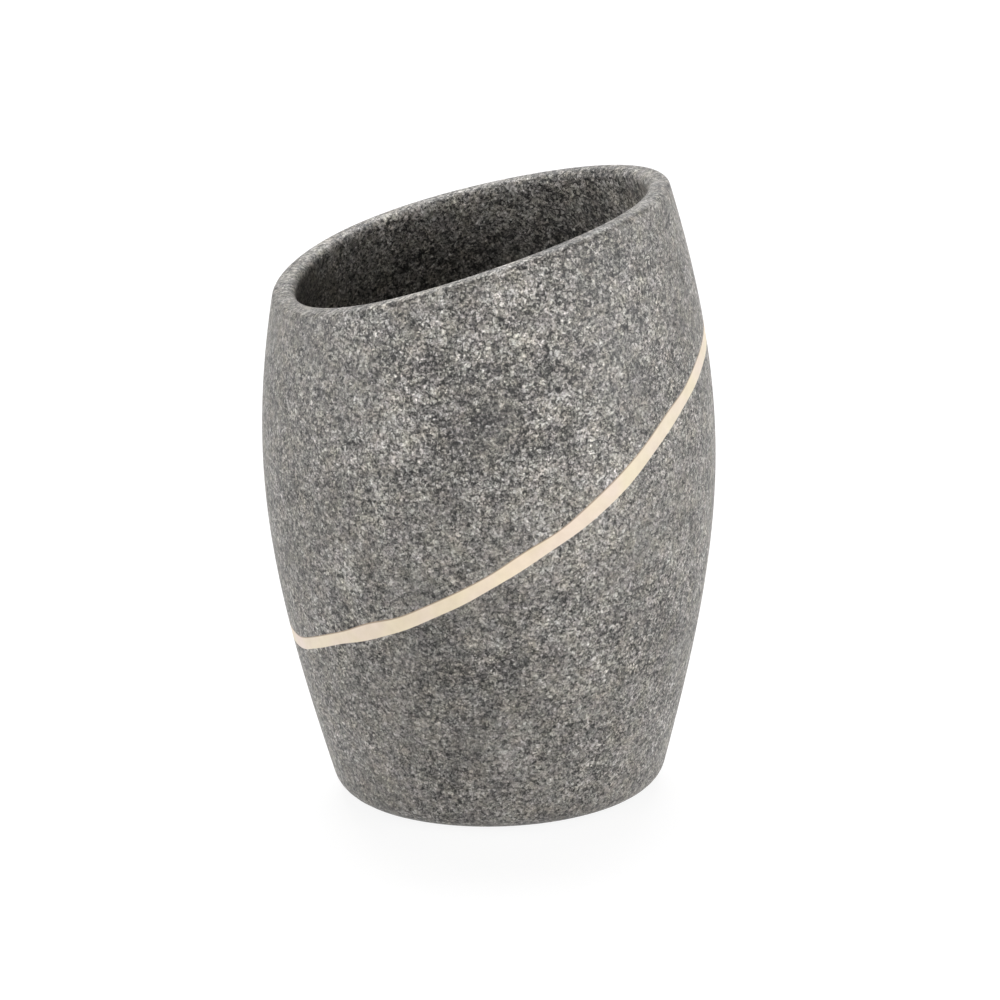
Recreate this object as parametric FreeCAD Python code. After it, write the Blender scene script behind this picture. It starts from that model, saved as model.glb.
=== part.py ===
"""Bathroom tumbler cast in stone-effect resin.

A barrel-shaped cup with a thick wall, a slanting rim with a rounded lip, and a pale vein
that fills a groove climbing right round the wall. A soft disc, stuck in a shallow seat
under the foot, keeps the cup from sliding.

Millimetres and degrees. Z is the cup's axis, the table is at zero, and the rim is highest at +X.
"""

import FreeCAD, Part
import math
import os

# Outside of the cup: the wall swells from the foot to the belly and draws in again towards the rim.
BELLY_RADIUS = 40.0
BELLY_HEIGHT = 62.8
FOOT_RADIUS = 28.7      # where the line of the wall meets the underside
FOOT_ANGLE = 15.6       # outward lean of the wall at the foot
FOOT_ROUND = 5.0
CROWN_RADIUS = 31.6     # at the crown, the level that the highest point of the rim stays just under
CROWN_ANGLE = 16.3      # inward lean of the wall at the crown
HANDLE_SHARE = 1 / 3    # rise of a wall curve's handles, so that height runs evenly along the curve

# Rim: a gently twisted slant, steeper at the front (-Y) than at the back. Its line bows, up at the front
# and slightly down at the back.
RIM_HEIGHT = 102.1      # on the axis
RIM_FRONT_ANGLE = 16.6
RIM_BACK_ANGLE = 11.8
RIM_FRONT_BOW = 2.65    # how far the middle of the line stands above its ends
RIM_BACK_BOW = -1.0
LIP_OUTER_SHARE = 0.32  # roundings of the lip, of the wall's thickness
LIP_INNER_SHARE = 0.34

# Inside of the cup
WALL = 4.2              # measured level, from the axis
FLOOR = 8.0             # from the underside to the bottom of the cavity
FLOOR_ROUND = 9.0

# Vein: a slanted sheet of paler resin that shows as a wandering band on the wall.
VEIN_HEIGHT = 56.55     # on the axis
VEIN_ANGLE = 34.0       # its climb
VEIN_HEADING_ANGLE = 14.1   # direction of its climb, from +X towards +Y
VEIN_DEPTH = 1.6
VEIN_WIDTH = 3.1        # measured upright
VEIN_SWELL = 0.35       # how much wider it is on its broad side, towards +X
VEIN_WANDER = 1.32      # how far it strays from a flat slant
VEIN_WAVES = 3          # strays per turn
VEIN_WAVE_ANGLE = 17.0  # where the strays start
VEIN_STEPS = 48         # points that set each of its edges
VEIN_REACH_SHARE = 0.5  # how near the axis its sheet is drawn before trimming, of the belly

# Disc under the foot and the film that holds it
FOOT_LAND = 3.0         # ring of bare underside left round the seat
PAD_CLEARANCE = 0.3     # round the disc, in its seat
PAD_THICKNESS = 1.6
PAD_PROUD = 0.4         # how far the disc stands out of the underside
FILM_THICKNESS = 0.2
FILM_MARGIN = 1.0       # how far the film stays inside the disc's edge

OVERRUN = 2.0           # how far cutting tools reach past what they cut
FULL_TURN = 360.0
QUARTER_TURN = 90.0

UP = FreeCAD.Vector(0, 0, 1)
AXIS_FOOT = FreeCAD.Vector(0, 0, 0)
SECTION_PLANE = Part.Plane(AXIS_FOOT, FreeCAD.Vector(0, 1, 0))


def slope(degrees):
    return math.tan(math.radians(degrees))


# Levels and sizes that follow from the values above
UNDERSIDE = PAD_PROUD
SEAT_HEIGHT = PAD_THICKNESS + FILM_THICKNESS
FLOOR_HEIGHT = UNDERSIDE + FLOOR
CROWN_HEIGHT = RIM_HEIGHT + BELLY_RADIUS * slope(max(RIM_FRONT_ANGLE, RIM_BACK_ANGLE))
UNDERSIDE_RADIUS = FOOT_RADIUS - FOOT_ROUND * slope((QUARTER_TURN - FOOT_ANGLE) / 2)
SEAT_RADIUS = UNDERSIDE_RADIUS - FOOT_LAND
PAD_RADIUS = SEAT_RADIUS - PAD_CLEARANCE


def disc(radius, bottom, top):
    """Upright cylinder on the axis between two levels."""
    return Part.makeCylinder(radius, top - bottom, UP * bottom)


def rim_edges(shape):
    """Outer and inner edges of the slanting rim, the highest of the faces with a hole."""
    rings = [face for face in shape.Faces if len(face.Wires) > 1]
    rim = max(rings, key=lambda face: face.CenterOfMass.z)
    inner = [edge for wire in rim.Wires if not wire.isSame(rim.OuterWire) for edge in wire.Edges]
    return rim.OuterWire.Edges, inner


def section_point(radius, height):
    """Point of the half section, which lies on the low side of the rim."""
    return FreeCAD.Vector(-radius, 0, height)


def wall_curve(start_radius, start_height, start_angle, end_radius, end_height, end_angle):
    """Smooth stretch of wall between two levels, leaning out by an angle at each end."""
    rise = HANDLE_SHARE * (end_height - start_height)
    curve = Part.BezierCurve()
    curve.setPoles([
        section_point(start_radius, start_height),
        section_point(start_radius + rise * slope(start_angle), start_height + rise),
        section_point(end_radius - rise * slope(end_angle), end_height - rise),
        section_point(end_radius, end_height),
    ])
    return curve


def turned_form(inset, bottom, corner_round):
    """Solid barrel from a flat bottom to the crown, its wall set in level and its lower corner rounded."""
    foot = FOOT_RADIUS - inset
    belly = BELLY_RADIUS - inset
    crown = CROWN_RADIUS - inset
    lower_wall = wall_curve(foot, UNDERSIDE, FOOT_ANGLE, belly, BELLY_HEIGHT, 0)
    lower_wall.segment((bottom - UNDERSIDE) / (BELLY_HEIGHT - UNDERSIDE), 1)
    upper_wall = wall_curve(belly, BELLY_HEIGHT, 0, crown, CROWN_HEIGHT, -CROWN_ANGLE)
    corner = lower_wall.StartPoint
    bottom_line = Part.makeLine(section_point(0, bottom), corner)
    rounding = Part.ChFi2d.FilletAPI(bottom_line, lower_wall.toShape(), SECTION_PLANE)
    rounding.perform(corner_round)
    corner_arc, bottom_line, lower_edge = rounding.result(corner)
    outline = Part.Wire([
        bottom_line,
        corner_arc,
        lower_edge,
        upper_wall.toShape(),
        Part.makeLine(upper_wall.EndPoint, section_point(0, CROWN_HEIGHT)),
        Part.makeLine(section_point(0, CROWN_HEIGHT), section_point(0, bottom)),
    ])
    return Part.Face(outline).revolve(AXIS_FOOT, UP, FULL_TURN)


def outer_form(inset):
    """The outside of the cup below the crown, or a layer within it."""
    return turned_form(inset, UNDERSIDE, FOOT_ROUND)


def cavity():
    """The inside of the cup, with a rounded corner between wall and floor."""
    return turned_form(WALL, FLOOR_HEIGHT, FLOOR_ROUND)


def rim_section(y, degrees, bow):
    """Upright frame in front of or behind the cup, its lower side the bowed line that sets the rim."""
    reach = BELLY_RADIUS + OVERRUN
    top = CROWN_HEIGHT + OVERRUN
    rise = reach * slope(degrees)
    low = FreeCAD.Vector(-reach, y, RIM_HEIGHT - rise - bow)
    high = FreeCAD.Vector(reach, y, RIM_HEIGHT + rise - bow)
    line = Part.BezierCurve()
    line.setPoles([low, FreeCAD.Vector(0, y, RIM_HEIGHT + bow), high])
    sides = Part.makePolygon([high, FreeCAD.Vector(reach, y, top), FreeCAD.Vector(-reach, y, top), low])
    return Part.Wire([line.toShape()] + sides.Edges)


def rim_cutter():
    """Everything above the rim, its underside ruled from the front line to the back line."""
    reach = BELLY_RADIUS + OVERRUN
    front = rim_section(-reach, RIM_FRONT_ANGLE, RIM_FRONT_BOW)
    back = rim_section(reach, RIM_BACK_ANGLE, RIM_BACK_BOW)
    return Part.makeLoft([front, back], True, True)


def vein_edge(radius, side):
    """Closed curve at one radius on the vein's upper (side 1) or lower (side -1) face."""
    points = []
    for step in range(VEIN_STEPS):
        azimuth = FULL_TURN * step / VEIN_STEPS
        along_climb = radius * math.cos(math.radians(azimuth - VEIN_HEADING_ANGLE))
        wander = VEIN_WANDER * math.cos(math.radians(VEIN_WAVES * azimuth + VEIN_WAVE_ANGLE))
        width = VEIN_WIDTH + VEIN_SWELL * math.cos(math.radians(azimuth))
        points.append(FreeCAD.Vector(
            radius * math.cos(math.radians(azimuth)),
            radius * math.sin(math.radians(azimuth)),
            VEIN_HEIGHT + along_climb * slope(VEIN_ANGLE) + wander + side * width / 2,
        ))
    curve = Part.BSplineCurve()
    curve.interpolate(Points=points, PeriodicFlag=True)
    return curve.toShape()


def vein_sheet():
    """The vein as a slanted ring that reaches past the wall on both sides."""
    inner = VEIN_REACH_SHARE * BELLY_RADIUS
    outer = BELLY_RADIUS + OVERRUN
    corners = [vein_edge(inner, -1), vein_edge(outer, -1), vein_edge(outer, 1), vein_edge(inner, 1)]
    faces = []
    for index, corner in enumerate(corners):
        faces.append(Part.makeRuledSurface(corners[index - 1], corner))
    shell = Part.makeShell(faces)
    shell.sewShape()
    ring = Part.makeSolid(shell)
    if ring.Volume < 0:
        ring.reverse()
    return ring


def make_vein():
    """The part of the sheet that lies in the outer layer of the wall."""
    return outer_form(0).common(vein_sheet()).cut(outer_form(VEIN_DEPTH))


def make_cup(vein):
    """The cast vessel, with the vein's groove and the disc's seat."""
    cup = outer_form(0).cut(rim_cutter()).cut(cavity())
    outer, _ = rim_edges(cup)
    cup = cup.makeFillet(LIP_OUTER_SHARE * WALL, outer)
    _, inner = rim_edges(cup)
    cup = cup.makeFillet(LIP_INNER_SHARE * WALL, inner)
    cup = cup.cut(disc(SEAT_RADIUS, 0, SEAT_HEIGHT))
    return cup.cut(vein)


def make_pad():
    """The soft disc, which stands on the table."""
    return disc(PAD_RADIUS, 0, PAD_THICKNESS)


def make_film():
    """The film between the disc and the top of its seat."""
    return disc(PAD_RADIUS - FILM_MARGIN, PAD_THICKNESS, SEAT_HEIGHT)


def main():
    os.makedirs("parts", exist_ok=True)
    vein = make_vein()
    pieces = {
        "tumbler_body": make_cup(vein),
        "vein_inlay": vein,
        "base_pad": make_pad(),
        "pad_adhesive": make_film(),
    }
    for name, piece in pieces.items():
        solid = piece.Solids[0]
        print(name, "solids", len(piece.Solids), "valid", solid.isValid(), "volume", round(solid.Volume, 1))
        solid.exportStep("parts/" + name + ".step")


main()
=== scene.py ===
"""Looks of the bathroom tumbler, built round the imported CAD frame.

The cast body, its vein and the foam disc are rebuilt as even meshes in the places of their
CAD solids. Shapes are worked out in millimetres and stored in metres.
"""

import math

import bpy
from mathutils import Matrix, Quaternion, Vector


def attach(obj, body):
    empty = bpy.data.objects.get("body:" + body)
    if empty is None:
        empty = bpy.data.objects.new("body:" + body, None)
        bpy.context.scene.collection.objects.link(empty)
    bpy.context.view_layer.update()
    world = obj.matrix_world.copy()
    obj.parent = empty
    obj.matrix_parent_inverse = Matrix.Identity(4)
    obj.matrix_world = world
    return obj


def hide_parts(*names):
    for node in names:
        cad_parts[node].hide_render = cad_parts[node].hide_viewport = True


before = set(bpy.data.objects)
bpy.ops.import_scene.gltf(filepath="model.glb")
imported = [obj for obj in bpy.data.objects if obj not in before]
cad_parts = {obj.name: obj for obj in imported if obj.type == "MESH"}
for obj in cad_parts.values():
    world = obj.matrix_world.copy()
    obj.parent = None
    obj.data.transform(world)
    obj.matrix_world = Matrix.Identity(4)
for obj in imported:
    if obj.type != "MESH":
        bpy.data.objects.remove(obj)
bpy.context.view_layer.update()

MM = 0.001
TURN = 2 * math.pi
QUARTER = TURN / 4

# Shape of the cast body, in millimetres and degrees, as the CAD has it
BELLY_RADIUS = 40.0
BELLY_HEIGHT = 62.8
FOOT_RADIUS = 28.7
FOOT_ANGLE = 15.6
FOOT_ROUND = 5.0
CROWN_RADIUS = 31.6
CROWN_ANGLE = 16.3
RIM_HEIGHT = 102.1
RIM_FRONT_ANGLE = 16.6
RIM_BACK_ANGLE = 11.8
RIM_FRONT_BOW = 2.65
RIM_BACK_BOW = -1.0
RIM_REACH = 42.0
LIP_OUTER_ROUND = 1.344
LIP_INNER_ROUND = 1.428
WALL = 4.2
UNDERSIDE = 0.4
FLOOR_HEIGHT = 8.4
FLOOR_ROUND = 9.0
SEAT_HEIGHT = 1.8
SEAT_RADIUS = 21.9
CROWN_HEIGHT = RIM_HEIGHT + BELLY_RADIUS * math.tan(math.radians(RIM_FRONT_ANGLE))

# Vein
VEIN_HEIGHT = 56.55
VEIN_ANGLE = 34.0
VEIN_HEADING_ANGLE = 14.1
VEIN_DEPTH = 1.6
VEIN_WIDTH = 3.1
VEIN_SWELL = 0.35
VEIN_WANDER = 1.32
VEIN_WAVES = 3
VEIN_WAVE_ANGLE = 17.0
# Small unevenness of its two edges: waves per turn, height, start angle
VEIN_RIPPLES = {
    1: ((8, 0.25, 335.0), (5, 0.15, 295.0), (17, 0.15, 330.0), (25, 0.05, 235.0)),
    -1: ((7, 0.30, 240.0), (11, 0.10, 100.0), (5, 0.10, 10.0), (24, 0.05, 10.0)),
}

# Foam disc
PAD_RADIUS = 21.6
PAD_THICKNESS = 1.6
PAD_ROUND = 0.5
PAD_BULGE = 0.12
PAD_CROWN = 0.12

# Mesh: columns round the axis and rows along each stretch of the section
COLUMNS = 288
SEAM_ANGLE = 90.0
LOWER_ROWS = 36
UPPER_ROWS = 32
INNER_ROWS = 44
ROUND_ROWS = 8
FLAT_ROWS = 3
DISC_ROWS = 5
SHARP_ANGLE = 40.0
STRIP_MAP = "OFBake"

# Searches for where roundings and the vein's corners meet the wall
HALVINGS = 50
SETTLING_STEPS = 30
ROUND_SEARCH = 3        # how far up the wall a lower rounding may end, in its radii
TILT_STEP = 0.01

# In the values of the materials, a scale counts grains or waves per millimetre, a gain is a change of tone,
# and a shift only sets one pattern apart from another. A pair of pairs turns the first range into the second.

# Stone: grains, and the small bends in their edges
CHIP_SCALE = 2.0
CHIP_GAIN = 0.25
FINE_SCALE = 3.6
FINE_SHIFT = (7.3, 1.9, 4.1)
FINE_GAIN = 0.24
BEND_SCALE = 1.4
BEND_REACH = 0.8

# Stone: slivers, which are long grains in two directions
SLIVER_SCALE = 1.5
SLIVERS = (
    ((0.5, 0.3, 0.9), (1.0, 2.6, 1.6)),
    ((1.9, 1.1, 0.2), (2.6, 1.0, 1.6)),
)
SLIVER_BRIGHT = ((0.84, 1.0), (0.0, 0.13))
SLIVER_DARK = ((0.0, 0.16), (-0.16, 0.0))

# Stone: crevices between groups of grains, in broken runs
CREVICE_SCALE = 0.95
CREVICE_GAIN = ((0.0, 0.14), (-0.24, 0.0))
RUN_SCALE = 0.9
RUN_SHIFT = (5.0, 17.0, 9.0)
RUN_SHARE = ((0.46, 0.6), (0.0, 1.0))

# Stone: pale flecks, in those cells whose random number is over a limit
FLECK_SCALE = 0.95
FLECK_SHIFT = (3.7, 8.1, 6.3)
FLECK_GAIN = ((0.12, 0.3), (0.12, 0.0))
FLECK_LIMIT = 0.6

# Stone: clouds of tone, from small to wide, and of contrast
CLUMP_SCALE = 0.55
CLUMP_DETAIL = 3.0
CLUMP_ROUGHNESS = 0.6
CLUMP_GAIN = 0.30
BED_SCALE = 0.17
BED_SHIFT = (11.0, 3.0, 29.0)
BED_GAIN = 0.18
CLOUD_SCALE = 0.07
CLOUD_GAIN = 0.12
PATCH_SCALE = 0.06
PATCH_SHIFT = (40.0, 10.0, 20.0)
PATCH_CONTRAST = ((0.3, 0.7), (0.75, 1.25))

# Stone: paler and darker drifts (middle, reach, change of tone), and how their outlines wander. A few are the
# stone's own tone; most are painted light and shade: painted highlights at the upper front and on either side
# of the front, painted shade down the middle of the front and low on the front and sides, painted light on
# the inner wall at the left and near the far rim, and painted shade inside on the right.
PAINTED_LIGHT_AND_DRIFTS = (
    ((-7.5, -34.9, 98.2), 20.0, 0.07),
    ((-16.5, -36.0, 76.0), 14.0, 0.06),
    ((9.0, -34.5, 98.0), 12.0, 0.05),
    ((17.0, -35.8, 66.0), 24.0, 0.05),
    ((10.0, -38.5, 55.0), 10.0, 0.05),
    ((-1.0, -39.0, 78.0), 16.0, -0.06),
    ((-3.0, -35.8, 31.0), 22.0, -0.06),
    ((17.5, -32.0, 94.0), 8.0, -0.05),
    ((-24.0, -22.0, 22.0), 18.0, -0.03),
    ((24.0, -22.0, 26.0), 20.0, -0.04),
    ((17.0, 26.0, 99.0), 14.0, -0.08),
    ((-22.0, 21.0, 86.0), 20.0, 0.13),
    ((-12.0, 28.5, 100.0), 9.0, 0.06),
    ((6.0, 31.0, 105.0), 9.0, 0.06),
)
DRIFT_BEND_SCALE = 0.12
DRIFT_BEND_REACH = 14.0

# Stone: where the grains stand out most, at the front and inside, and the contrast added by distance
COARSE_MIDDLES = ((0.0, -37.0, 88.0), (-4.0, 29.0, 92.0))
COARSE_CONTRAST = ((8.0, 42.0), (0.5, 0.0))

# Stone: colours by tone, tints by grain, and two slow changes of hue
BASE_TONE = 0.435
STONE_COLOURS = (
    (0.0, (0.004, 0.004, 0.004)),
    (0.2, (0.033, 0.032, 0.031)),
    (0.35, (0.104, 0.1, 0.094)),
    (0.5, (0.222, 0.212, 0.196)),
    (0.65, (0.395, 0.38, 0.356)),
    (0.8, (0.62, 0.6, 0.57)),
    (1.0, (0.95, 0.93, 0.9)),
)
GRAIN_TINTS = ((0.0, (1.0, 0.995, 1.0)), (0.4, (1.005, 1.0, 0.99)), (1.0, (1.02, 1.0, 0.96)))
STAIN_SCALE = 0.3
STAIN_SHIFT = (2.0, 31.0, 13.0)
STAIN_TINTS = ((0.3, (0.985, 0.995, 1.02)), (0.5, (1.0, 1.0, 1.0)), (0.7, (1.02, 1.005, 0.96)))
BLUSH_SCALE = 0.4
BLUSH_SHIFT = (23.0, 5.0, 37.0)
BLUSH_TINTS = ((0.3, (0.99, 1.01, 0.995)), (0.7, (1.01, 0.985, 1.005)))

# Stone: surface, its relief in millimetres
STONE_ROUGHNESS = ((0.0, 1.0), (0.42, 0.6))
STONE_TOOTH_SCALE = 2.6
STONE_TOOTH_SHARE = 0.5
STONE_RELIEF = 0.06
STONE_RELIEF_STRENGTH = 0.5

# Vein: creams, a slow blush, and painted light and shade from one side of the cup to the other: a little
# darker and cooler at the left, brighter in the middle, darker and cooler at the right
CREAM_SCALE = 0.5
CREAM_DETAIL = 5.0
CREAM_ROUGHNESS = 0.65
CREAM_COLOURS = ((0.3, (0.695, 0.592, 0.435)), (0.7, (0.765, 0.66, 0.5)))
VEIN_BLUSH_SCALE = 0.16
VEIN_BLUSH_SHIFT = (9.0, 2.0, 5.0)
VEIN_BLUSH_TINTS = ((0.35, (1.0, 1.0, 0.96)), (0.65, (1.0, 0.97, 1.04)))
ACROSS_CUP = ((-BELLY_RADIUS, BELLY_RADIUS), (0.0, 1.0))
VEIN_PAINTED_LIGHT_TINTS = (
    (0.1, (0.957, 0.97, 1.05)),
    (0.54, (1.05, 1.05, 1.06)),
    (0.87, (0.887, 0.91, 0.956)),
)
# Brown line along the vein's upper edge: from where to where across the vein's strip, and how strong
VEIN_LINE = ((0.312, 0.330), (0.0, 0.8))
VEIN_LINE_COLOUR = (0.25, 0.17, 0.11, 1.0)
VEIN_TOOTH_SCALE = 1.8
VEIN_TOOTH_DETAIL = 3.0
VEIN_ROUGHNESS = ((0.3, 0.7), (0.42, 0.55))
VEIN_RELIEF = 0.05
VEIN_RELIEF_STRENGTH = 0.3

# Foam and film
FOAM_SCALE = 2.2
FOAM_COLOURS = ((0.0, (0.075, 0.075, 0.078)), (0.3, (0.035, 0.035, 0.037)))
FOAM_ROUGHNESS = 0.85
FOAM_RELIEF = 0.2
FOAM_RELIEF_STRENGTH = 0.6
FILM_SCALE = 0.8
FILM_DETAIL = 5.0
FILM_COLOURS = ((0.3, (0.72, 0.72, 0.68)), (0.7, (0.82, 0.82, 0.79)))
CREASE_SCALE = 0.35
CREASE_DETAIL = 3.0
FILM_ROUGHNESS = ((0.3, 0.7), (0.5, 0.7))
FILM_RELIEF = 0.1
FILM_RELIEF_STRENGTH = 0.3

# Shine of cast resin and of plain surfaces
RESIN_SHINE = 0.35
PLAIN_SHINE = 0.5

# Noise: the detail of a smooth one, and the middle of its values
SMOOTH = 1.0
MIDDLE = 0.5

# Sockets of the node that mixes colours
MIX_SHARE = 0
MIX_FIRST = 6
MIX_SECOND = 7
MIX_RESULT = 2

# Camera
CAMERA_PLACE = (0.0, -0.9296, 0.3239)
CAMERA_AIM = (0.0016, 0.0, 0.0525)
CAMERA_LENS = 196.7
CAMERA_SENSOR = 36.0
CAMERA_ROLL = -1.9

# Light: place, width and height, and power of each lamp, all aimed at the middle of the tumbler
AMBIENT = 0.2
BACKDROP = 1.0
LAMP_AIM = (0.0, 0.0, 0.05)
LAMPS = {
    "lamp_top": ((0.0, 0.6, 1.2), (1.0, 1.0), 20.0),
    "lamp_front": ((0.0, -1.3, 0.16), (0.8, 0.3), 4.4),
    "lamp_left": ((-1.02, -0.72, 0.16), (0.8, 0.3), 4.0),
    "lamp_left_side": ((-1.25, 0.11, 0.16), (0.8, 0.3), 4.6),
    "lamp_right": ((1.11, -0.58, 0.16), (0.8, 0.3), 9.0),
    "lamp_right_side": ((1.25, 0.11, 0.16), (0.8, 0.3), 2.6),
}
WHITE = (1.0, 1.0, 1.0, 1.0)
FLOOR_SIZE = 6.0
FLOOR_COLOUR = (0.7, 0.7, 0.7, 1.0)
FLOOR_SHADE = (0.2, 0.2, 0.2, 1.0)
FLOOR_GLOW = 0.88


def slope(degrees):
    return math.tan(math.radians(degrees))


def hermite(height, low, high):
    """Radius and its slope at a height between two (height, radius, slope) ends."""
    (z0, r0, s0), (z1, r1, s1) = low, high
    rise = z1 - z0
    t = (height - z0) / rise
    radius = (
        (2 * t**3 - 3 * t**2 + 1) * r0
        + (t**3 - 2 * t**2 + t) * rise * s0
        + (3 * t**2 - 2 * t**3) * r1
        + (t**3 - t**2) * rise * s1
    )
    lean = (
        (6 * t**2 - 6 * t) * (r0 - r1) / rise
        + (3 * t**2 - 4 * t + 1) * s0
        + (3 * t**2 - 2 * t) * s1
    )
    return radius, lean


def wall(height):
    """Radius of the outside of the wall at a height, and its slope there."""
    belly = (BELLY_HEIGHT, BELLY_RADIUS, 0)
    if height < BELLY_HEIGHT:
        return hermite(height, (UNDERSIDE, FOOT_RADIUS, slope(FOOT_ANGLE)), belly)
    return hermite(height, belly, (CROWN_HEIGHT, CROWN_RADIUS, -slope(CROWN_ANGLE)))


def rim(radius, azimuth):
    """Height of the rim's slant."""
    x = radius * math.cos(azimuth)
    y = radius * math.sin(azimuth)
    front = x * slope(RIM_FRONT_ANGLE) - RIM_FRONT_BOW * (x / RIM_REACH) ** 2
    back = x * slope(RIM_BACK_ANGLE) - RIM_BACK_BOW * (x / RIM_REACH) ** 2
    back_share = (y + RIM_REACH) / (2 * RIM_REACH)
    return RIM_HEIGHT + front + back_share * (back - front)


def solve(gap, low, high):
    """Where a rising function of one number crosses zero."""
    for _ in range(HALVINGS):
        middle = (low + high) / 2
        if gap(middle) < 0:
            low = middle
        else:
            high = middle
    return (low + high) / 2


def arc(centre, radius, start, end, rows):
    """Points of a rounding from one direction to another, the short way."""
    sweep = (end - start + math.pi) % TURN - math.pi
    points = []
    for row in range(rows + 1):
        angle = start + sweep * row / rows
        points.append((centre[0] + radius * math.cos(angle), centre[1] + radius * math.sin(angle)))
    return points


def ball_by_wall(height, inset, ball):
    """Centre of a ball that touches the wall at a height, on the axis's side, or beyond it if negative."""
    radius, lean = wall(height)
    length = math.hypot(1, lean)
    return (radius - inset - ball / length, height + ball * lean / length)


def wall_direction(height, side):
    """Direction square to the wall, outwards (side 1) or inwards (side -1)."""
    _, lean = wall(height)
    return math.atan2(-lean * side, side)


def low_round(inset, level, ball):
    """The rounding between a level bottom and the wall, and the height where it ends on the wall."""

    def gap(height):
        return ball_by_wall(height, inset, ball)[1] - level - ball

    top = solve(gap, level, level + ROUND_SEARCH * ball)
    centre = ball_by_wall(top, inset, ball)
    return arc(centre, ball, -QUARTER, wall_direction(top, 1), ROUND_ROWS), top


def lip_round(azimuth, inset, ball, side):
    """The rounding between the wall and the rim's slant, from the wall up, and the height where it starts."""

    def tilt(radius):
        return (rim(radius + TILT_STEP, azimuth) - rim(radius - TILT_STEP, azimuth)) / (2 * TILT_STEP)

    def gap(height):
        radius, middle = ball_by_wall(height, inset, ball * side)
        return middle + ball * math.hypot(1, tilt(radius)) - rim(radius, azimuth)

    start = solve(gap, BELLY_HEIGHT, CROWN_HEIGHT)
    centre = ball_by_wall(start, inset, ball * side)
    up = math.atan2(1, -tilt(centre[0]))
    return arc(centre, ball, wall_direction(start, side), up, ROUND_ROWS), start


def vein_level(radius, azimuth, side):
    """Height of the vein's upper (side 1) or lower (side -1) face at a radius."""
    degrees = math.degrees(azimuth)
    climb = radius * math.cos(math.radians(degrees - VEIN_HEADING_ANGLE)) * slope(VEIN_ANGLE)
    wander = VEIN_WANDER * math.cos(math.radians(VEIN_WAVES * degrees + VEIN_WAVE_ANGLE))
    width = VEIN_WIDTH + VEIN_SWELL * math.cos(azimuth)
    ripple = sum(
        height * math.cos(math.radians(waves * degrees + start))
        for waves, height, start in VEIN_RIPPLES[side]
    )
    return VEIN_HEIGHT + climb + wander + side * width / 2 + ripple


def vein_corner(azimuth, side, depth):
    """Radius and height of one of the vein's corners, on the wall or at a depth below it."""
    height = vein_level(BELLY_RADIUS, azimuth, side)
    for _ in range(SETTLING_STEPS):
        radius = wall(height)[0] - depth
        height = vein_level(radius, azimuth, side)
    return radius, height


def vein_corners(azimuth):
    """The vein's corners at an azimuth: low and high on the wall, low and high at its depth."""
    return [vein_corner(azimuth, side, depth) for depth in (0, VEIN_DEPTH) for side in (-1, 1)]


def straight(start, end, rows):
    """Points of a straight line, its ends among them."""
    return [
        (start[0] + (end[0] - start[0]) * row / rows, start[1] + (end[1] - start[1]) * row / rows)
        for row in range(rows + 1)
    ]


def up_wall(low, high, inset, rows):
    """Points of the wall between two heights."""
    points = []
    for row in range(rows + 1):
        height = low + (high - low) * row / rows
        points.append((wall(height)[0] - inset, height))
    return points


def joined(*stretches):
    """Stretches of a section in one list, each starting where the one before it ends."""
    points = list(stretches[0])
    for stretch in stretches[1:]:
        points += stretch[1:]
    return points


FOOT_ARC, FOOT_TOP = low_round(0, UNDERSIDE, FOOT_ROUND)
FLOOR_ARC, FLOOR_TOP = low_round(WALL, FLOOR_HEIGHT, FLOOR_ROUND)


def body_section(azimuth):
    """Half section of the cast body, from the middle of the seat round to the middle of the floor."""
    outer_lip, outer_start = lip_round(azimuth, 0, LIP_OUTER_ROUND, 1)
    inner_lip, inner_start = lip_round(azimuth, WALL, LIP_INNER_ROUND, -1)
    low, high, deep_low, deep_high = vein_corners(azimuth)
    inner_lip.reverse()
    inner_wall = up_wall(FLOOR_TOP, inner_start, WALL, INNER_ROWS)
    inner_wall.reverse()
    floor_arc = FLOOR_ARC[::-1]
    return joined(
        straight((0, SEAT_HEIGHT), (SEAT_RADIUS, SEAT_HEIGHT), DISC_ROWS),
        straight((SEAT_RADIUS, SEAT_HEIGHT), (SEAT_RADIUS, UNDERSIDE), 1),
        straight((SEAT_RADIUS, UNDERSIDE), FOOT_ARC[0], FLAT_ROWS),
        FOOT_ARC,
        up_wall(FOOT_TOP, low[1], 0, LOWER_ROWS),
        straight(low, deep_low, 1),
        up_wall(deep_low[1], deep_high[1], VEIN_DEPTH, FLAT_ROWS),
        straight(deep_high, high, 1),
        up_wall(high[1], outer_start, 0, UPPER_ROWS),
        outer_lip,
        straight(outer_lip[-1], inner_lip[0], FLAT_ROWS),
        inner_lip,
        inner_wall,
        floor_arc,
        straight(floor_arc[-1], (0, FLOOR_HEIGHT), DISC_ROWS),
    )


def vein_section(azimuth):
    """Closed section of the vein, from its lower edge up the wall and back within it."""
    low, high, deep_low, deep_high = vein_corners(azimuth)
    return joined(
        up_wall(low[1], high[1], 0, ROUND_ROWS),
        straight(high, deep_high, 1),
        up_wall(deep_high[1], deep_low[1], VEIN_DEPTH, FLAT_ROWS),
        straight(deep_low, low, 1),
    )[:-1]


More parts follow.
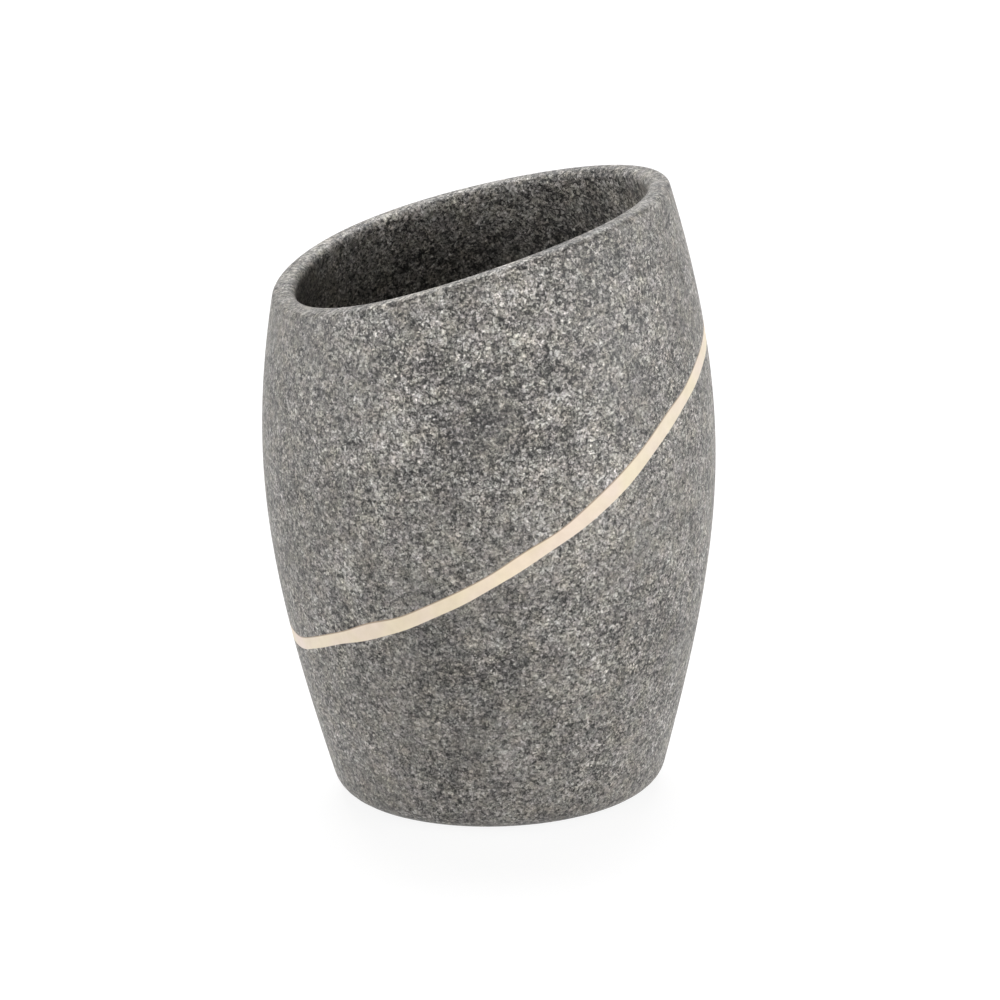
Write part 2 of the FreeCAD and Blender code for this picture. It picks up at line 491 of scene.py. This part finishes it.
def pad_section(azimuth):
    """Half section of the foam disc: a slightly hollow underside, rounded corners and a side that bulges."""
    edge = PAD_RADIUS - PAD_ROUND
    under = [
        (edge * row / DISC_ROWS, PAD_CROWN * (1 - (row / DISC_ROWS) ** 2))
        for row in range(DISC_ROWS + 1)
    ]
    side = []
    for row in range(ROUND_ROWS + 1):
        share = row / ROUND_ROWS
        swell = PAD_BULGE * math.sin(math.pi * share)
        side.append((PAD_RADIUS + swell, PAD_ROUND + (PAD_THICKNESS - 2 * PAD_ROUND) * share))
    low = arc((edge, PAD_ROUND), PAD_ROUND, -QUARTER, 0, ROUND_ROWS)
    top = arc((edge, PAD_THICKNESS - PAD_ROUND), PAD_ROUND, 0, QUARTER, ROUND_ROWS)
    return joined(under, low, side, top, straight(top[-1], (0, PAD_THICKNESS), DISC_ROWS))


def lengths_along(points, closed):
    """How far along its section each point is, as a share. A closed one has its start again at the end."""
    ends = points[1:] + points[:1] if closed else points[1:]
    lengths = [0.0]
    for start, end in zip(points, ends):
        lengths.append(lengths[-1] + math.dist(start, end))
    return [length / lengths[-1] for length in lengths]


def unwrap(mesh, corners):
    """Lays the swept faces out as one strip that fills the map, once round from left to right."""
    layer = mesh.uv_layers.new(name=STRIP_MAP)
    for face, places in zip(mesh.polygons, corners):
        for loop, place in zip(face.loop_indices, places):
            layer.data[loop].uv = place


def turned_mesh(name, section, closed):
    """Even mesh swept round the axis. An open section starts and ends on the axis."""
    seam = math.radians(SEAM_ANGLE)
    sections = [section(seam + TURN * column / COLUMNS) for column in range(COLUMNS)]
    rows = len(sections[0])
    along = lengths_along(sections[0], closed)
    vertices, faces, corners = [], [], []
    ring_rows = range(rows) if closed else range(1, rows - 1)
    for column, points in enumerate(sections):
        azimuth = seam + TURN * column / COLUMNS
        for row in ring_rows:
            radius, height = points[row]
            vertices.append((radius * math.cos(azimuth) * MM, radius * math.sin(azimuth) * MM, height * MM))
    count = len(ring_rows)

    def at(column, row):
        return column % COLUMNS * count + row % count

    def on_strip(column, row):
        return column / COLUMNS, along[row + ring_rows[0]]

    for column in range(COLUMNS):
        for row in range(count if closed else count - 1):
            quad = ((column, row), (column + 1, row), (column + 1, row + 1), (column, row + 1))
            faces.append([at(*corner) for corner in quad])
            corners.append([on_strip(*corner) for corner in quad])
    if not closed:
        first, last = len(vertices), len(vertices) + 1
        vertices.append((0, 0, sections[0][0][1] * MM))
        vertices.append((0, 0, sections[0][-1][1] * MM))
        for column in range(COLUMNS):
            middle = (column + 0.5) / COLUMNS
            faces.append((first, at(column + 1, 0), at(column, 0)))
            corners.append(((middle, 0.0), on_strip(column + 1, 0), on_strip(column, 0)))
            faces.append((last, at(column, count - 1), at(column + 1, count - 1)))
            corners.append(((middle, 1.0), on_strip(column, count - 1), on_strip(column + 1, count - 1)))
    mesh = bpy.data.meshes.new(name)
    mesh.from_pydata(vertices, [], faces)
    unwrap(mesh, corners)
    mesh.shade_smooth()
    mesh.set_sharp_from_angle(angle=math.radians(SHARP_ANGLE))
    piece = bpy.data.objects.new(name, mesh)
    bpy.context.scene.collection.objects.link(piece)
    return piece


def add_node(tree, kind, inputs=None, **settings):
    """A new node, each of its inputs linked to a socket or set to a value."""
    node = tree.nodes.new(kind)
    for name, value in settings.items():
        setattr(node, name, value)
    for key, value in (inputs or {}).items():
        if isinstance(value, bpy.types.NodeSocket):
            tree.links.new(value, node.inputs[key])
        else:
            node.inputs[key].default_value = value
    return node


def new_material(name):
    """An empty material and its nodes."""
    material = bpy.data.materials.new(name)
    material.use_nodes = True
    tree = material.node_tree
    tree.nodes.clear()
    return material, tree


def finish_material(tree, colour, roughness, normal, shine):
    shader = add_node(tree, "ShaderNodeBsdfPrincipled", {
        "Base Color": colour,
        "Roughness": roughness,
        "Specular IOR Level": shine,
        "Normal": normal,
    })
    add_node(tree, "ShaderNodeOutputMaterial", {"Surface": shader.outputs[0]})


def ramp(tree, factor, stops):
    """Colour read off a row of (place, colour) stops."""
    node = add_node(tree, "ShaderNodeValToRGB", {"Fac": factor})
    elements = node.color_ramp.elements
    while len(elements) < len(stops):
        elements.new(1.0)
    for element, (place, colour) in zip(elements, stops):
        element.position = place
        element.color = (*colour, 1.0)
    return node.outputs["Color"]


def millimetres(tree):
    """The place on the object, in millimetres."""
    place = add_node(tree, "ShaderNodeTexCoord").outputs["Object"]
    scaled = add_node(tree, "ShaderNodeVectorMath", {0: place, "Scale": 1 / MM}, operation="SCALE")
    return scaled.outputs[0]


def remap(tree, value, ranges, **settings):
    """A value carried from the first range to the second, and held at its ends."""
    (low, high), (first, last) = ranges
    inputs = {0: value, 1: low, 2: high, 3: first, 4: last}
    return add_node(tree, "ShaderNodeMapRange", inputs, **settings).outputs[0]


def math_node(tree, operation, first, second):
    return add_node(tree, "ShaderNodeMath", {0: first, 1: second}, operation=operation).outputs[0]


def total(tree, first, *others):
    """Sum of values."""
    for other in others:
        first = math_node(tree, "ADD", first, other)
    return first


def tinted(tree, colour, *tints):
    """A colour multiplied by each of the tints."""
    for tint in tints:
        inputs = {MIX_SHARE: 1.0, MIX_FIRST: colour, MIX_SECOND: tint}
        node = add_node(tree, "ShaderNodeMix", inputs, data_type="RGBA", blend_type="MULTIPLY")
        colour = node.outputs[MIX_RESULT]
    return colour


def spread(tree, value, gain):
    """A change of tone to either side, from a value between 0 and 1."""
    return math_node(tree, "MULTIPLY", math_node(tree, "SUBTRACT", value, MIDDLE), gain)


def relief(tree, height, strength, depth, **settings):
    """Normals of a fine relief, its depth in millimetres."""
    inputs = {"Height": height, "Strength": strength, "Distance": depth * MM}
    return add_node(tree, "ShaderNodeBump", inputs, **settings).outputs[0]


def noise(tree, place, scale, detail=2.0, roughness=0.5, output="Fac"):
    inputs = {"Vector": place, "Scale": scale, "Detail": detail, "Roughness": roughness}
    return add_node(tree, "ShaderNodeTexNoise", inputs).outputs[output]


def cells(tree, place, scale, **settings):
    return add_node(tree, "ShaderNodeTexVoronoi", {"Vector": place, "Scale": scale}, **settings).outputs


def lots(tree, colour):
    """Three random numbers, from 0 to 1, out of the random colour of a cell."""
    return add_node(tree, "ShaderNodeSeparateColor", {"Color": colour}).outputs


def grains(tree, place, scale):
    """Random numbers that are each the same all over one grain."""
    return lots(tree, cells(tree, place, scale)["Color"])


def shifted(tree, place, offset):
    return add_node(tree, "ShaderNodeVectorMath", {0: place, 1: offset}, operation="ADD").outputs[0]


def stretched(tree, place, turn, stretch):
    inputs = {"Vector": place, "Rotation": turn, "Scale": stretch}
    return add_node(tree, "ShaderNodeMapping", inputs).outputs[0]


def bent(tree, place, scale, reach):
    """The place, moved about by noise within a reach."""
    stray = noise(tree, place, scale, output="Color")
    centred = shifted(tree, stray, (-MIDDLE, -MIDDLE, -MIDDLE))
    inputs = {0: centred, 1: (reach, reach, reach), 2: place}
    return add_node(tree, "ShaderNodeVectorMath", inputs, operation="MULTIPLY_ADD").outputs[0]


def by_distance(tree, place, middle, ranges):
    """A value that changes smoothly with the distance from a middle."""
    away = add_node(tree, "ShaderNodeVectorMath", {0: place, 1: middle}, operation="DISTANCE")
    return remap(tree, away.outputs["Value"], ranges, interpolation_type="SMOOTHSTEP")


def stone_slivers(tree, place):
    """Change of tone by the slivers: bright ones of both directions, and dark ones of the second."""
    first, second = (
        grains(tree, stretched(tree, place, turn, stretch), SLIVER_SCALE) for turn, stretch in SLIVERS
    )
    return total(
        tree,
        remap(tree, first["Red"], SLIVER_BRIGHT),
        remap(tree, second["Green"], SLIVER_BRIGHT),
        remap(tree, second["Red"], SLIVER_DARK),
    )


def stone_crevices(tree, place, grain_place):
    """Change of tone in the crevices."""
    edges = cells(tree, grain_place, CREVICE_SCALE, feature="DISTANCE_TO_EDGE")["Distance"]
    runs = noise(tree, shifted(tree, place, RUN_SHIFT), RUN_SCALE)
    return math_node(tree, "MULTIPLY", remap(tree, edges, CREVICE_GAIN), remap(tree, runs, RUN_SHARE))


def stone_flecks(tree, place):
    """Change of tone in the flecks."""
    spots = cells(tree, shifted(tree, place, FLECK_SHIFT), FLECK_SCALE)
    chosen = math_node(tree, "GREATER_THAN", lots(tree, spots["Color"])["Red"], FLECK_LIMIT)
    return math_node(tree, "MULTIPLY", remap(tree, spots["Distance"], FLECK_GAIN), chosen)


def stone_tone(tree, place, grain_place, chip, crevices):
    """Tone of the stone: grains of all sizes, their contrast, and slow drifts, partly the stone's own tone
    and mostly painted light and shade.
    """
    drift_place = bent(tree, place, DRIFT_BEND_SCALE, DRIFT_BEND_REACH)
    fine = grains(tree, shifted(tree, grain_place, FINE_SHIFT), FINE_SCALE)
    clump = noise(tree, place, CLUMP_SCALE, CLUMP_DETAIL, CLUMP_ROUGHNESS)
    bed = noise(tree, shifted(tree, place, BED_SHIFT), BED_SCALE, SMOOTH)
    cloud = noise(tree, place, CLOUD_SCALE)
    patch = noise(tree, shifted(tree, place, PATCH_SHIFT), PATCH_SCALE)
    grain = total(
        tree,
        spread(tree, chip["Red"], CHIP_GAIN),
        spread(tree, fine["Red"], FINE_GAIN),
        spread(tree, clump, CLUMP_GAIN),
        spread(tree, bed, BED_GAIN),
        stone_flecks(tree, grain_place),
        stone_slivers(tree, grain_place),
        crevices,
    )
    contrast = remap(tree, patch, PATCH_CONTRAST)
    for middle in COARSE_MIDDLES:
        contrast = total(tree, contrast, by_distance(tree, drift_place, middle, COARSE_CONTRAST))
    tone = total(tree, math_node(tree, "MULTIPLY", grain, contrast), spread(tree, cloud, CLOUD_GAIN))
    # Painted light and shade, with some of the stone's own tone: paler and darker patches round given
    # middles.
    for middle, reach, change in PAINTED_LIGHT_AND_DRIFTS:
        tone = total(tree, tone, by_distance(tree, drift_place, middle, ((0.0, reach), (change, 0.0))))
    return total(tree, tone, BASE_TONE)


def make_speckled_resin():
    """Grey and cream grains with dark gaps between them, some of them bright slivers, in satin resin, with
    painted light and shade in slow patches.
    """
    material, tree = new_material("speckled_resin_look")
    place = millimetres(tree)
    grain_place = bent(tree, place, BEND_SCALE, BEND_REACH)
    chip = grains(tree, grain_place, CHIP_SCALE)
    crevices = stone_crevices(tree, place, grain_place)
    tone = stone_tone(tree, place, grain_place, chip, crevices)
    stain = noise(tree, shifted(tree, place, STAIN_SHIFT), STAIN_SCALE, SMOOTH)
    blush = noise(tree, shifted(tree, place, BLUSH_SHIFT), BLUSH_SCALE, SMOOTH)
    colour = tinted(
        tree,
        ramp(tree, tone, STONE_COLOURS),
        ramp(tree, chip["Blue"], GRAIN_TINTS),
        ramp(tree, stain, STAIN_TINTS),
        ramp(tree, blush, BLUSH_TINTS),
    )
    roughness = remap(tree, chip["Green"], STONE_ROUGHNESS)
    tooth = noise(tree, grain_place, STONE_TOOTH_SCALE)
    height = total(tree, crevices, math_node(tree, "MULTIPLY", tooth, STONE_TOOTH_SHARE))
    normal = relief(tree, height, STONE_RELIEF_STRENGTH, STONE_RELIEF)
    finish_material(tree, colour, roughness, normal, RESIN_SHINE)
    return material


def make_vein_resin():
    """Satin cream resin, a little uneven in colour, with painted light and shade across the cup and a brown
    line along its upper edge.
    """
    material, tree = new_material("vein_resin_look")
    place = millimetres(tree)
    cream = noise(tree, place, CREAM_SCALE, CREAM_DETAIL, CREAM_ROUGHNESS)
    blush = noise(tree, shifted(tree, place, VEIN_BLUSH_SHIFT), VEIN_BLUSH_SCALE, SMOOTH)
    sideways = add_node(tree, "ShaderNodeSeparateXYZ", {0: place}).outputs["X"]
    # Painted light and shade across the cup: darker and cooler towards both sides, brighter in the middle.
    cream_with_painted_light = tinted(
        tree,
        ramp(tree, cream, CREAM_COLOURS),
        ramp(tree, blush, VEIN_BLUSH_TINTS),
        ramp(tree, remap(tree, sideways, ACROSS_CUP), VEIN_PAINTED_LIGHT_TINTS),
    )
    strip = add_node(tree, "ShaderNodeUVMap", uv_map=STRIP_MAP).outputs[0]
    across = add_node(tree, "ShaderNodeSeparateXYZ", {0: strip}).outputs["Y"]
    inputs = {MIX_SHARE: remap(tree, across, VEIN_LINE), MIX_FIRST: cream_with_painted_light, MIX_SECOND: VEIN_LINE_COLOUR}
    colour = add_node(tree, "ShaderNodeMix", inputs, data_type="RGBA").outputs[MIX_RESULT]
    tooth = noise(tree, place, VEIN_TOOTH_SCALE, VEIN_TOOTH_DETAIL)
    roughness = remap(tree, tooth, VEIN_ROUGHNESS)
    normal = relief(tree, tooth, VEIN_RELIEF_STRENGTH, VEIN_RELIEF)
    finish_material(tree, colour, roughness, normal, RESIN_SHINE)
    return material


def make_pad_foam():
    """Dark foam of small closed cells."""
    material, tree = new_material("pad_foam_look")
    place = millimetres(tree)
    edges = cells(tree, place, FOAM_SCALE, feature="DISTANCE_TO_EDGE")["Distance"]
    normal = relief(tree, edges, FOAM_RELIEF_STRENGTH, FOAM_RELIEF, invert=True)
    finish_material(tree, ramp(tree, edges, FOAM_COLOURS), FOAM_ROUGHNESS, normal, PLAIN_SHINE)
    return material


def make_adhesive_film():
    """Dull, faintly creased film."""
    material, tree = new_material("adhesive_film_look")
    place = millimetres(tree)
    colour = ramp(tree, noise(tree, place, FILM_SCALE, FILM_DETAIL), FILM_COLOURS)
    creases = noise(tree, place, CREASE_SCALE, CREASE_DETAIL)
    normal = relief(tree, creases, FILM_RELIEF_STRENGTH, FILM_RELIEF)
    finish_material(tree, colour, remap(tree, creases, FILM_ROUGHNESS), normal, PLAIN_SHINE)
    return material


def seen_directly(tree):
    """1 for rays that show the surroundings, from the camera or by a mirror or glass."""
    path = add_node(tree, "ShaderNodeLightPath").outputs
    seen = math_node(tree, "MAXIMUM", path["Is Camera Ray"], path["Is Glossy Ray"])
    return math_node(tree, "MAXIMUM", seen, path["Is Transmission Ray"])


def make_floor():
    """Pale floor that looks almost white and still takes a faint shadow."""
    half = FLOOR_SIZE / 2
    mesh = bpy.data.meshes.new("floor")
    corners = [(-half, -half, 0), (half, -half, 0), (half, half, 0), (-half, half, 0)]
    mesh.from_pydata(corners, [], [(0, 1, 2, 3)])
    floor = bpy.data.objects.new("floor", mesh)
    bpy.context.scene.collection.objects.link(floor)
    material, tree = new_material("floor_look")
    matt = add_node(tree, "ShaderNodeBsdfDiffuse", {"Color": FLOOR_COLOUR})
    shade = add_node(tree, "ShaderNodeBsdfDiffuse", {"Color": FLOOR_SHADE})
    glow = add_node(tree, "ShaderNodeEmission", {"Color": WHITE, "Strength": FLOOR_GLOW})
    pale = add_node(tree, "ShaderNodeAddShader", {0: shade.outputs[0], 1: glow.outputs[0]})
    inputs = {"Fac": seen_directly(tree), 1: matt.outputs[0], 2: pale.outputs[0]}
    mix = add_node(tree, "ShaderNodeMixShader", inputs)
    add_node(tree, "ShaderNodeOutputMaterial", {"Surface": mix.outputs[0]})
    mesh.materials.append(material)


def make_world():
    """Dim light from all round, behind which the background shows white."""
    world = bpy.data.worlds.new("studio")
    bpy.context.scene.world = world
    world.use_nodes = True
    tree = world.node_tree
    tree.nodes.clear()
    ambient = add_node(tree, "ShaderNodeBackground", {"Color": WHITE, "Strength": AMBIENT})
    white = add_node(tree, "ShaderNodeBackground", {"Color": WHITE, "Strength": BACKDROP})
    inputs = {"Fac": seen_directly(tree), 1: ambient.outputs[0], 2: white.outputs[0]}
    mix = add_node(tree, "ShaderNodeMixShader", inputs)
    add_node(tree, "ShaderNodeOutputWorld", {"Surface": mix.outputs[0]})


def make_lamps():
    for name, (place, size, power) in LAMPS.items():
        lamp = bpy.data.lights.new(name, "AREA")
        lamp.shape = "RECTANGLE"
        lamp.size, lamp.size_y = size
        lamp.energy = power
        holder = bpy.data.objects.new(name, lamp)
        holder.location = place
        holder.rotation_euler = (Vector(LAMP_AIM) - Vector(place)).to_track_quat("-Z", "Y").to_euler()
        bpy.context.scene.collection.objects.link(holder)


def make_camera():
    lens = bpy.data.cameras.new("camera")
    lens.lens = CAMERA_LENS
    lens.sensor_width = CAMERA_SENSOR
    camera = bpy.data.objects.new("camera", lens)
    camera.location = CAMERA_PLACE
    look = (Vector(CAMERA_AIM) - Vector(CAMERA_PLACE)).to_track_quat("-Z", "Y")
    camera.rotation_mode = "QUATERNION"
    camera.rotation_quaternion = look @ Quaternion((0, 0, 1), math.radians(CAMERA_ROLL))
    bpy.context.scene.collection.objects.link(camera)
    bpy.context.scene.camera = camera


def stand_for(piece, node, material):
    """Puts a piece in the place of a CAD node."""
    piece.data.materials.append(material)
    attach(piece, "root")
    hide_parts(node)


make_camera()
make_floor()
make_world()
make_lamps()
body = turned_mesh("cast_body", body_section, False)
stand_for(body, "tumbler_body", make_speckled_resin())
vein = turned_mesh("poured_vein", vein_section, True)
stand_for(vein, "vein_inlay", make_vein_resin())
pad = turned_mesh("foam_disc", pad_section, False)
stand_for(pad, "base_pad", make_pad_foam())
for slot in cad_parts["pad_adhesive"].material_slots:
    slot.material = make_adhesive_film()
bpy.context.scene.view_settings.view_transform = "Standard"
